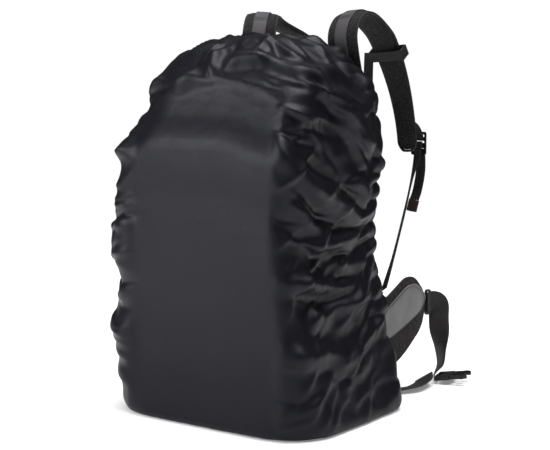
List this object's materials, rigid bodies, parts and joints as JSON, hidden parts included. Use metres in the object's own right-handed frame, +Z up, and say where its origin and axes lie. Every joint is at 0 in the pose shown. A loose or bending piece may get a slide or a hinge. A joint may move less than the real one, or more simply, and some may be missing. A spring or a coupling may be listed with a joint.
{
  "type": "trekking backpack under a rain cover",
  "caption": "Stuffed trekking backpack standing under an elastic-hemmed rain cover, with padded shoulder straps and a buckled hip belt.",
  "frame": {"origin": "middle of the flat bottom that the covered pack stands on", "axes": "+Z up, the covered front towards -Y, the harness and back panel towards +Y, +X to the right seen from the front"},
  "size_m": [0.4628, 0.5523, 0.6917],
  "materials": {
    "cover_nylon": "satin",
    "elastic": "matte",
    "pack_nylon": "matte",
    "frame_alloy": "satin",
    "frame_plastic": "matte",
    "back_mesh": "matte",
    "belt_foam": "matte",
    "grey_nylon": "satin",
    "black_webbing": "matte",
    "grey_webbing": "matte",
    "tab_binding": "matte",
    "buckle_plastic": "satin"
  },
  "bodies": {
    "pack": {"back_pad_left": "back_mesh", "back_pad_right": "back_mesh", "back_panel": "back_mesh", "base_panel": "pack_nylon", "frame_sheet": "frame_plastic", "frame_stay_left": "frame_alloy", "frame_stay_right": "frame_alloy", "front_pocket": "pack_nylon", "haul_loop": "black_webbing", "lid_buckle_left": "buckle_plastic", "lid_buckle_right": "buckle_plastic", "lid_strap_left": "black_webbing", "lid_strap_right": "black_webbing", "lower_webbing_left": "black_webbing", "lower_webbing_right": "black_webbing", "lumbar_pad": "back_mesh", "main_bag": "pack_nylon", "shoulder_strap_left": "back_mesh", "shoulder_strap_right": "back_mesh", "shoulder_yoke": "back_mesh", "side_pocket_left": "pack_nylon", "side_pocket_right": "pack_nylon", "strap_anchor_left": "black_webbing", "strap_anchor_right": "black_webbing", "strap_link_left": "black_webbing", "strap_link_right": "black_webbing", "strap_webbing_left": "grey_webbing", "strap_webbing_right": "grey_webbing", "throat_collar": "pack_nylon", "top_lid": "pack_nylon"},
    "rain_cover": {"cover_front_panel": "cover_nylon", "cover_gusset": "cover_nylon", "cover_hem": "cover_nylon", "hem_elastic": "elastic"},
    "hip_belt_left": {"hip_wing_left": "belt_foam", "hip_overlay_left": "grey_nylon", "hip_bar_left": "buckle_plastic", "hip_webbing_left": "black_webbing", "hip_tail_left": "black_webbing"},
    "strap_lock_left": {"ladder_lock_left": "buckle_plastic"},
    "strap_end_left": {"strap_tail_left": "black_webbing", "tail_tab_left": "tab_binding"},
    "chest_slider_left": {"sternum_keeper_left": "black_webbing"},
    "hip_belt_right": {"hip_wing_right": "belt_foam", "hip_overlay_right": "grey_nylon", "hip_bar_right": "buckle_plastic", "hip_webbing_right": "black_webbing", "hip_tail_right": "black_webbing"},
    "strap_lock_right": {"ladder_lock_right": "buckle_plastic"},
    "strap_end_right": {"strap_tail_right": "black_webbing", "tail_tab_right": "tab_binding"},
    "chest_slider_right": {"sternum_keeper_right": "black_webbing"},
    "chest_strap_right": {"sternum_webbing_right": "black_webbing", "sternum_buckle_female": "buckle_plastic"},
    "chest_strap_left": {"sternum_webbing_left": "black_webbing", "sternum_buckle_male": "buckle_plastic"},
    "belt_buckle_right": {"hip_buckle_male": "buckle_plastic"},
    "belt_buckle_left": {"hip_buckle_female": "buckle_plastic"}
  },
  "joints": [
    {"name": "cover_pull_off", "type": "slide", "parent": "pack", "child": "rain_cover", "axis": [0, -1, 0], "range_m": [0, 0.34], "deforming": ["cover_hem", "hem_elastic"]},
    {"name": "hip_belt_swing_right", "type": "hinge", "parent": "pack", "child": "hip_belt_right", "pos_m": [0.118, 0.142, 0.12], "axis": [0, 0, 1], "range_deg": [-12, 40]},
    {"name": "hip_belt_swing_left", "type": "hinge", "parent": "pack", "child": "hip_belt_left", "pos_m": [-0.118, 0.142, 0.12], "axis": [0, 0, -1], "range_deg": [-12, 40]},
    {"name": "belt_buckle_tip_right", "type": "hinge", "parent": "hip_belt_right", "child": "belt_buckle_right", "pos_m": [0.18176, 0.32695, 0.01044], "axis": [0.2419, -0.9703, 0], "range_deg": [0, 45]},
    {"name": "belt_buckle_tip_left", "type": "hinge", "parent": "hip_belt_left", "child": "belt_buckle_left", "pos_m": [-0.18176, 0.32695, 0.01044], "axis": [0.2419, 0.9703, 0], "range_deg": [0, 45]},
    {"name": "strap_lock_lift_right", "type": "hinge", "parent": "pack", "child": "strap_lock_right", "pos_m": [0.113, 0.352, 0.4655], "axis": [1, 0, 0], "range_deg": [0, 45]},
    {"name": "strap_lock_lift_left", "type": "hinge", "parent": "pack", "child": "strap_lock_left", "pos_m": [-0.113, 0.352, 0.4655], "axis": [1, 0, 0], "range_deg": [0, 45]},
    {"name": "strap_end_swing_right", "type": "hinge", "parent": "strap_lock_right", "child": "strap_end_right", "pos_m": [0.115, 0.3552, 0.4355], "axis": [1, 0, 0], "range_deg": [0, 35]},
    {"name": "strap_end_swing_left", "type": "hinge", "parent": "strap_lock_left", "child": "strap_end_left", "pos_m": [-0.115, 0.3552, 0.4355], "axis": [1, 0, 0], "range_deg": [0, 35]},
    {"name": "chest_slider_travel_right", "type": "slide", "parent": "pack", "child": "chest_slider_right", "axis": [-0.0556, -0.5446, 0.8368], "range_m": [-0.02, 0.02]},
    {"name": "chest_slider_travel_left", "type": "slide", "parent": "pack", "child": "chest_slider_left", "axis": [0.0556, -0.5446, 0.8368], "range_m": [-0.02, 0.02]},
    {"name": "chest_strap_swing_right", "type": "hinge", "parent": "chest_slider_right", "child": "chest_strap_right", "pos_m": [0.0566, 0.26919, 0.61477], "axis": [1, 0, 0], "range_deg": [-30, 30]},
    {"name": "chest_strap_swing_left", "type": "hinge", "parent": "chest_slider_left", "child": "chest_strap_left", "pos_m": [-0.0566, 0.26919, 0.61477], "axis": [1, 0, 0], "range_deg": [-30, 30]}
  ]
}
